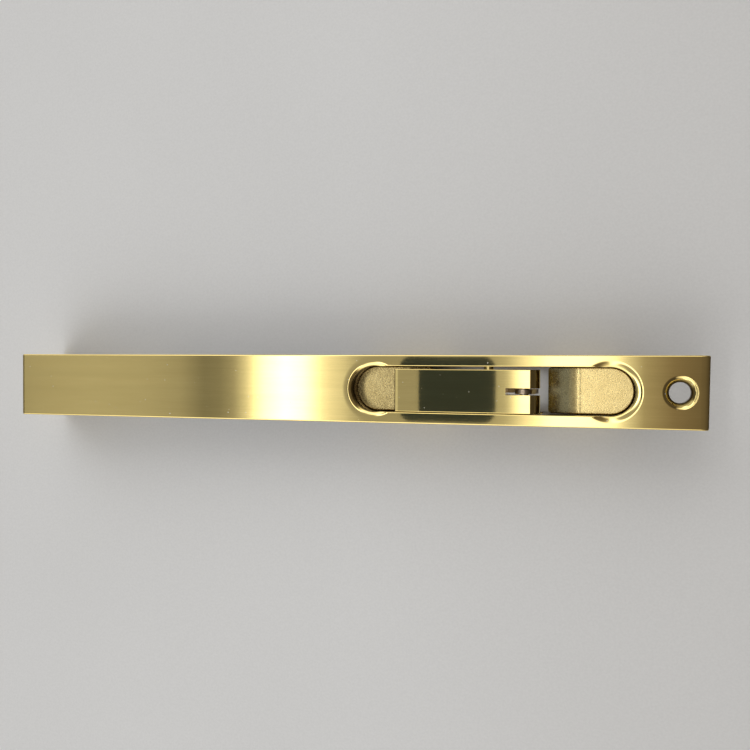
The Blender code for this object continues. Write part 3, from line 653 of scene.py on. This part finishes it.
def make_faceplate():
    """The plate: worn ends, the slot with its finger dishes, the screw hole and the pivot pin's groove."""
    half = PLATE_HIGH.y
    ends = [(PLATE_LOW.x + distance * MM, drop, inset) for distance, drop, inset in WORN_LEFT]
    ends += [(PLATE_HIGH.x - distance * MM, drop, inset) for distance, drop, inset in WORN_RIGHT]
    stations = []
    for x, drop, inset in ends:
        low = (-half + inset * MM, PLATE_LOW.z + inset * MM)
        high = (half - inset * MM, PLATE_HIGH.z - drop * MM)
        stations.append((x, low, high))
    plate = bar("faceplate_brass", stations, 0.35 * MM)
    for vertex in plate.data.vertices:
        past = vertex.co.x - PLATE_HIGH.x + SKEW_LENGTH
        if past > 0:
            vertex.co.x -= SKEW * (half - vertex.co.y) * past / SKEW_LENGTH
    carve(plate, flared_slot_cutter(SLOT_EDGE_ROUNDING), dish_cutter(-1), dish_cutter(1))
    reach = PIVOT_GROOVE_REACH
    groove = cylinder("groove", "Y", PIVOT, PIVOT_HOLE_RADIUS, -reach, reach, 40)
    carve(plate, countersink_cutter(), groove)
    shade(plate)
    # The front is truly flat, so it is kept out of the smoothing at its edges
    for polygon in plate.data.polygons:
        if polygon.normal.z > 0.9999999:
            polygon.use_smooth = False
    return place_piece(plate, PLATE_BRASS, "plate", "polished_brass", "faceplate")


# How steeply the lever's faces fall away, as (distance in mm, slope). The first is measured onward from its
# long end, and the second back from the start of its nose. There is no slope past the last distance
WORN_END = (
    (0.0, 1.0),
    (0.34, 1.0),
    (0.37, 0.028),
    (1.1, 0.028),
    (1.15, 0.015),
    (7.0, 0.0155),
    (12.0, 0.0),
)
WORN_NOSE = (
    (-2.5, 1.0),
    (-1.37, 1.0),
    (-1.34, 0.0),
    (-1.28, 0.0),
    (-1.25, 0.60),
    (-0.08, 0.55),
    (0.0, 0.02),
    (2.8, 0.0147),
    (5.2, 0.004),
    (7.0, 0.0),
)
# Where the lever's outline is drawn, in mm: from its long end, and onward from the start of its nose
END_STATIONS = (0, 0.04, 0.1, 0.33, 0.38, 0.45, 0.75, 1.09, 1.16, 1.3)
NOSE_STATIONS = (0, 0.06, 0.3, 0.8, 1.2, 1.26, 1.29, 1.34, 1.38, 1.7, 2.1, 2.4, 2.5)
# How far the outline is drawn in at its first two stations
END_INSETS = {0: 0.08 * MM, 1: 0.02 * MM}


def fall(distance, slopes):
    """How far a face has fallen at a distance in metres: its slopes, summed from the last one to there."""
    steps = 60
    total = 0
    start, stop = distance / MM, slopes[-1][0]
    for i in range(steps):
        place = start + (stop - start) * (i + 0.5) / steps
        for (low, first), (high, last) in zip(slopes, slopes[1:]):
            if low <= place < high:
                total += (first + (last - first) * (place - low) / (high - low)) * (stop - start) / steps
    return max(total, 0) * MM


def make_lever():
    """The lever: a bar with a slotted nose, whose faces fall away at both ends, where buffing wore them."""
    half = (LEVER_HIGH.z - LEVER_LOW.z) / 2
    end = LEVER_LOW.x - LEVER_EXTRA_LENGTH
    nose = LEVER_HIGH.x - LEVER_NOSE
    xs = [end + distance * MM for distance in END_STATIONS]
    xs += [end + step * MM / 2 for step in range(3, 28)]
    xs += [nose - step * MM / 2 for step in range(15, 0, -1)]
    xs += [nose + distance * MM for distance in NOSE_STATIONS]
    stations = []
    for i, x in enumerate(xs):
        inset = END_INSETS.get(i, 0)
        thick = half - fall(x - end, WORN_END) - fall(nose - x, WORN_NOSE) - inset
        low = (LEVER_LOW.y + inset, PIVOT.z - thick)
        high = (LEVER_HIGH.y - inset, PIVOT.z + thick)
        stations.append((x, low, high))
    lever = bar("lever_brass", stations, 0.22 * MM)
    across = (LEVER_LOW.y + LEVER_HIGH.y) / 2
    slot_low = (PIVOT.x + LINK_SLOT_FROM_PIVOT, across - LINK_SLOT_HALF, -8 * MM)
    slot_high = (LEVER_HIGH.x + 1 * MM, across + LINK_SLOT_HALF, 2 * MM)
    carve(
        lever,
        box("slot", slot_low, slot_high),
        cylinder("bore", "Y", PIVOT, PIVOT_HOLE_RADIUS, -CUT, CUT, 40),
        cylinder("bore", "Y", CRANK, SMALL_PIN_HOLE_RADIUS, -CUT, CUT, 40),
    )
    shade(lever)
    return place_piece(lever, BRASS, "lever", "polished_brass", "lever")


# ---------------------------------------------------------------- recess floors, link and pins


def make_recess_floor(side, node):
    """A cast block: round far end, rounded edges, and a soft crease where it starts to slope down."""
    low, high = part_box(node)
    radius = high.y
    bottom, top = low.z, high.z
    near = (PIVOT.x - high.x) if side < 0 else (low.x - PIVOT.x)
    far = abs(SLOT_ENDS[side])
    corner = 0.9 * MM
    plan = arc((far, 0), radius, -90, 90, 32)
    plan += arc((near + corner, radius - corner), corner, 90, 180, 6)
    plan += arc((near + corner, -radius + corner), corner, 180, 270, 6)
    plan = [(PIVOT.x + side * x, y) for x, y in plan]
    floor = prism(node + "_cast", plan, bottom - 1 * MM, top + 1 * MM, "XY")
    crease = near + FLOOR_SLOPE_LENGTHS[side]
    soft = FLOOR_CREASES[side]
    slope = FLOOR_DROPS[side] / FLOOR_SLOPE_LENGTHS[side]
    beyond = far + 20 * MM
    profile = [(near - 1 * MM, bottom), (beyond, bottom), (beyond, top), (crease + soft, top)]
    for i in range(1, 8):
        x = crease + soft - 2 * soft * i / 8
        profile.append((x, top - slope * (crease + soft - x) ** 2 / (4 * soft)))
    profile.append((crease - soft, top - slope * soft))
    profile.append((near - 1 * MM, top - slope * (crease - near + 1 * MM)))
    profile = [(PIVOT.x + side * x, z) for x, z in profile]
    carve(floor, prism("side", profile, -CUT, CUT, "XZ"), operation="INTERSECT")
    round_edges(floor, 0.35 * MM, 3, 40)
    shade(floor, 35)
    return place_piece(floor, FLOOR_CASTS[side], "plate", "cast_brass", node)


def make_pin(node, body, material, slot):
    """A cross pin with slightly domed ends, in place of a CAD node."""
    dome = 0.25 * MM
    low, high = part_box(node)
    radius = (high.x - low.x) / 2
    reach = (high.y - low.y) / 2
    profile = [(0, -reach), (radius * 0.5, -reach + dome * 0.15), (radius - dome, -reach + dome * 0.4)]
    profile += [(radius - dome * 0.25, -reach + dome * 0.75), (radius, -reach + dome * 1.4)]
    profile += [(r, -z) for r, z in profile[::-1]]
    centre = (low + high) / 2
    pin = lathe(node + "_steel", profile, Matrix.Translation(centre) @ AXES["Y"], 48)
    shade(pin)
    return place_piece(pin, material, body, slot, node)


def screw(node, axis, toward, head_radius, head_height, radius):
    """A slotted cheese-head screw in place of a CAD node. Its head is at the toward end of its axis."""
    low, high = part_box(node)
    index = "XYZ".index(axis)
    centre = (low + high) / 2
    length = high[index] - low[index]
    centre[index] = (high if toward > 0 else low)[index]
    edge = 0.12 * MM
    dome = 0.10 * MM
    profile = [(0, 0), (head_radius * 0.55, -dome * 0.2), (head_radius - 2 * edge, -dome)]
    profile += [(head_radius - edge * 0.5, -dome - edge * 0.6), (head_radius, -dome - edge * 1.6)]
    profile += [(head_radius, -head_height + edge), (head_radius - edge, -head_height)]
    profile += [(radius + 0.02 * MM, -head_height), (radius, -head_height - 0.05 * MM)]
    pitch = 0.4 * MM
    depth = 0.12 * MM
    level = -head_height - 0.4 * MM
    while level > -length + pitch:
        profile += [(radius, level), (radius - depth, level - pitch / 2)]
        level -= pitch
    profile += [(radius, level), (radius - 0.3 * MM, -length), (0, -length)]
    turn = AXES[axis]
    if toward < 0:
        turn = turn @ Matrix.Rotation(math.pi, 4, "X")
    made = lathe(node + "_turned", profile, segments=32)
    half = 0.22 * MM
    slot_depth = head_height * 0.55
    carve(made, box("slot", (-half, -3 * MM, -slot_depth), (half, 3 * MM, 1 * MM)))
    # Each screw's slot points its own way
    number = sum(ord(letter) for letter in node)
    made.data.transform(Matrix.Translation(centre) @ turn @ Matrix.Rotation(number * 0.7, 4, "Z"))
    shade(made, 30)
    return place_piece(made, STEEL, "plate", "steel", node)


def rivet(node):
    """A round-headed rivet in place of a CAD node, with its head at the bottom."""
    low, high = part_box(node)
    centre = (low + high) / 2
    length = high.z - low.z
    head_radius, head_height, radius = 1.8 * MM, 0.9 * MM, 1.0 * MM
    edge = 0.1 * MM
    profile = [(0, 0)]
    for x, z in arc((0, 0), 1, 90, 0, 8)[1:]:
        profile.append((head_radius * x, -head_height * (1 - z)))
    profile += [(radius, -head_height), (radius, -length + edge), (radius - edge, -length), (0, -length)]
    flip = Matrix.Rotation(math.pi, 4, "X")
    made = lathe(node + "_steel", profile, Matrix.Translation((centre.x, centre.y, low.z)) @ flip, 40)
    shade(made, 35)
    return place_piece(made, STEEL, "rod", "steel", node)


def rounded_copy(node, width, material, slot):
    """A copy of a CAD node with its edges rounded, for pieces that the CAD already shapes in full."""
    shape = bmesh.new()
    shape.from_mesh(frame["nodes"][node].data)
    bmesh.ops.remove_doubles(shape, verts=shape.verts, dist=0.002 * MM)
    flat = math.radians(1)
    bmesh.ops.dissolve_limit(shape, angle_limit=flat, verts=shape.verts, edges=shape.edges)
    piece = piece_from(node + "_fine", shape)
    for attribute in list(piece.data.attributes):
        if "normal" in attribute.name:
            piece.data.attributes.remove(attribute)
    round_edges(piece, width, 2, 32)
    shade(piece, 30)
    return place_piece(piece, material, body_of(frame["nodes"][node])[0], slot, node)


def link_path():
    """The link's centre line: out of the lever's slot, round under the pivot, and left to the rod."""
    crank = Vector((CRANK.x, CRANK.z))
    rod = Vector((ROD_PIN.x, ROD_PIN.z))
    turn = crank + Vector((-4.2, -10.0)) * MM
    points = bezier(crank, crank + Vector((2.6, -4.4)) * MM, crank + Vector((3.6, -9.4)) * MM, turn, 40)
    points += bezier(turn, turn + Vector((-6.0, -0.2)) * MM, rod + Vector((6.0, 0.0)) * MM, rod, 24)[1:]
    return [tuple(point) for point in points]


def make_link():
    """The link: a bent strip with a round eye at each end."""
    low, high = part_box("link")
    path = link_path()
    widths = []
    for point in path:
        to_end = min(math.dist(point, path[0]), math.dist(point, path[-1]))
        blend = max(0.0, 1 - to_end / (1.6 * LINK_EYE_RADIUS))
        widths.append(LINK_NECK_HALF + (LINK_EYE_RADIUS - LINK_NECK_HALF) * blend**0.7)
    link = prism("link_steel", stroke(path, widths), low.y, high.y, "XZ")
    for centre in (CRANK, ROD_PIN):
        carve(link, cylinder("eye", "Y", centre, SMALL_PIN_HOLE_RADIUS, -CUT, CUT, 48))
    round_edges(link, 0.12 * MM, 2, 50)
    shade(link, 30)
    return place_piece(link, DARK_STEEL, "link", "link_steel", "link")


# ---------------------------------------------------------------- stage, light and camera


TABLE_HALF = 1.5
TABLE_THICKNESS = 0.02
LENS = 38.74
CAMERA_PLACE = Vector((73.3, 7.5, 217.6)) * MM
CAMERA_TARGET = Vector((14.2, 3.87, 0)) * MM
CAMERA_ROLL = math.radians(0.25)
CARD_LOW = (-170.5 * MM, -69.0 * MM)
CARD_HIGH = (-46.0 * MM, 15.0 * MM)
CARD_CORNER = 16 * MM
CARD_HEIGHT = 800 * MM
CARD_COLOUR = (0.043, 0.070, 0.105, 1)


def make_table():
    """A pale table that the bolt's end plate and housing stand on."""
    low = (-TABLE_HALF, -TABLE_HALF, cad_low.z - TABLE_THICKNESS)
    table = box("table", low, (TABLE_HALF, TABLE_HALF, cad_low.z))
    table.data.materials.append(table_top())


def make_camera():
    """The camera, with its top towards +Y and then turned by a roll."""
    camera = bpy.data.objects.new("camera", bpy.data.cameras.new("camera"))
    bpy.context.scene.collection.objects.link(camera)
    camera.data.sensor_width = 36
    camera.data.lens = LENS
    camera.data.clip_start = 0.01
    back = (CAMERA_PLACE - CAMERA_TARGET).normalized()
    right = Vector((0, 1, 0)).cross(back).normalized()
    turn = Matrix((right, back.cross(right), back)).transposed() @ Matrix.Rotation(CAMERA_ROLL, 3, "Z")
    camera.matrix_world = Matrix.Translation(CAMERA_PLACE) @ turn.to_4x4()
    bpy.context.scene.camera = camera


def make_card():
    """The dark card above the table that the brass mirrors, hidden from the camera itself."""
    outline = rounded_rectangle(CARD_LOW, CARD_HIGH, CARD_CORNER, 8)
    card = prism("card", outline, CARD_HEIGHT, CARD_HEIGHT + 1 * MM, "XY")
    material, _, shader = new_material("card_black", metallic=0.0)
    shader.inputs["Base Color"].default_value = CARD_COLOUR
    card.data.materials.append(material)
    card.visible_camera = False
    card.visible_shadow = False


# The ceiling over the table, from left to right: the slope x / z of a direction, its brightness and its
# colour. Two bright strips run across the plate, with a dimmer part between them and brown on the right
SKY = (
    (-0.90, 0.12, WHITE),
    (-0.80, 0.54, WHITE),
    (-0.60, 0.48, WHITE),
    (-0.55, 0.41, WHITE),
    (-0.513, 0.24, WHITE),
    (-0.49, 0.27, WHITE),
    (-0.469, 0.40, WHITE),
    (-0.452, 0.85, WHITE),
    (-0.443, 1.30, WHITE),
    (-0.425, 2.70, WHITE),
    (-0.395, 4.00, WHITE),
    (-0.370, 3.30, WHITE),
    (-0.345, 1.40, WHITE),
    (-0.332, 1.08, WHITE),
    (-0.312, 0.82, WHITE),
    (-0.304, 0.64, WHITE),
    (-0.288, 0.43, WHITE),
    (-0.27, 0.385, WHITE),
    (-0.13, 0.44, WHITE),
    (-0.105, 0.57, WHITE),
    (-0.095, 0.80, WHITE),
    (-0.085, 1.10, WHITE),
    (-0.066, 1.65, WHITE),
    (-0.056, 2.30, WHITE),
    (-0.045, 2.50, WHITE),
    (-0.012, 2.50, WHITE),
    (0.020, 1.90, WHITE),
    (0.037, 0.90, WHITE),
    (0.057, 0.42, WARM),
    (0.090, 0.25, BROWN),
    (0.125, 0.17, BROWN),
    (0.50, 0.10, BROWN),
)
SKY_PEAK = 4.0
SKY_LOWEST = 0.02
# The room round it, from its left side to its right: the place from 0 to 1, its brightness and its colour
ROOM = (
    (0.0, 0.30, WHITE),
    (0.05, 0.30, WHITE),
    (0.12, 2.10, WHITE),
    (0.3, 2.05, WHITE),
    (0.5, 1.90, WHITE),
    (0.62, 1.10, WARM),
    (0.72, 0.08, BROWN),
)
# The share of the room's light at the table's own height, and a direction's Z from which it is all there
ROOM_AT_TABLE = 0.25
ROOM_FULL_FROM = 0.8
# Where the ceiling gives way to the room: the slope y / z to either side, and x / z away from its middle
CEILING_SIDE = (0.38, 0.62)
CEILING_END = (0.75, 1.1)
CEILING_MIDDLE = -0.2


def light_stops(places):
    """Colour ramp stops of (place, brightness, colour) rows, scaled to the brightest light."""
    return [(place, [channel * level / SKY_PEAK for channel in colour]) for place, level, colour in places]


def make_world():
    """The ceiling's strips over the plate, in a room that is lit more evenly."""
    world = bpy.data.worlds.new("room")
    bpy.context.scene.world = world
    world.use_nodes = True
    nodes = Nodes(world.node_tree)
    direction = nodes.split(nodes.add("ShaderNodeTexCoord").outputs["Generated"])
    height = nodes.math("MAXIMUM", direction["Z"], SKY_LOWEST)
    along = nodes.math("DIVIDE", direction["X"], height)
    across = nodes.math("DIVIDE", direction["Y"], height)
    first, last = SKY[0][0], SKY[-1][0]
    places = [((slope - first) / (last - first), level, colour) for slope, level, colour in SKY]
    ceiling = nodes.ramp(nodes.spread(along, 0.0, 1.0, first, last), *light_stops(places))
    # The compass direction, from -1 on the left to 1 on the right, colours the room
    flat = nodes.add("ShaderNodeCombineXYZ")
    nodes.link(direction["X"], flat.inputs["X"])
    nodes.link(direction["Y"], flat.inputs["Y"])
    compass = nodes.add("ShaderNodeVectorMath", operation="NORMALIZE")
    nodes.link(flat.outputs["Vector"], compass.inputs[0])
    rightward = nodes.split(compass.outputs["Vector"])["X"]
    walls = nodes.ramp(nodes.spread(rightward, 0.0, 1.0, -1.0, 1.0), *light_stops(ROOM))
    lift = nodes.spread(direction["Z"], ROOM_AT_TABLE, 1.0, 0.0, ROOM_FULL_FROM)
    room = nodes.times(walls, nodes.ramp(lift, (0.0, (0, 0, 0)), (1.0, (1, 1, 1))))
    side = nodes.spread(nodes.math("ABSOLUTE", across), 0.0, 1.0, *CEILING_SIDE)
    from_middle = nodes.math("ABSOLUTE", nodes.math("SUBTRACT", along, CEILING_MIDDLE))
    outside = nodes.math("MAXIMUM", side, nodes.spread(from_middle, 0.0, 1.0, *CEILING_END))
    background = world.node_tree.nodes["Background"]
    nodes.link(nodes.mix(outside, ceiling, room), background.inputs["Color"])
    background.inputs["Strength"].default_value = SKY_PEAK


make_faceplate()
make_lever()
make_recess_floor(-1, "left_recess_floor")
make_recess_floor(1, "right_recess_floor")
make_pin("lever_pivot_pin", "plate", BRASS, "polished_brass")
make_pin("crank_pin", "lever", STEEL, "steel")
make_pin("rod_pin", "link", STEEL, "steel")
make_link()
rounded_copy("lever_housing", 0.3 * MM, CAST, "cast_brass")
rounded_copy("end_guide", 0.35 * MM, CAST, "cast_brass")
rounded_copy("rod", 0.25 * MM, STRIP, "zinc_plated_steel")
rounded_copy("rod_guide", 0.15 * MM, STRIP, "zinc_plated_steel")
rounded_copy("rod_spring", 0.08 * MM, BRONZE, "spring_bronze")
rounded_copy("bolt", 0.2 * MM, BRASS, "polished_brass")
for name in frame["nodes"]:
    if "screw" in name and not name.startswith("recess"):
        screw(name, "Z", -1, 1.8 * MM, 1.3 * MM, 1.0 * MM)
for number in range(1, 9):
    side = -1 if number < 5 else 1
    screw(f"recess_floor_screw_{number}", "Y", side, 1.4 * MM, 0.8 * MM, 0.8 * MM)
rivet("rod_rivet_1")
rivet("rod_rivet_2")
make_table()
make_camera()
make_world()
make_card()
bpy.context.scene.view_settings.view_transform = "Standard"
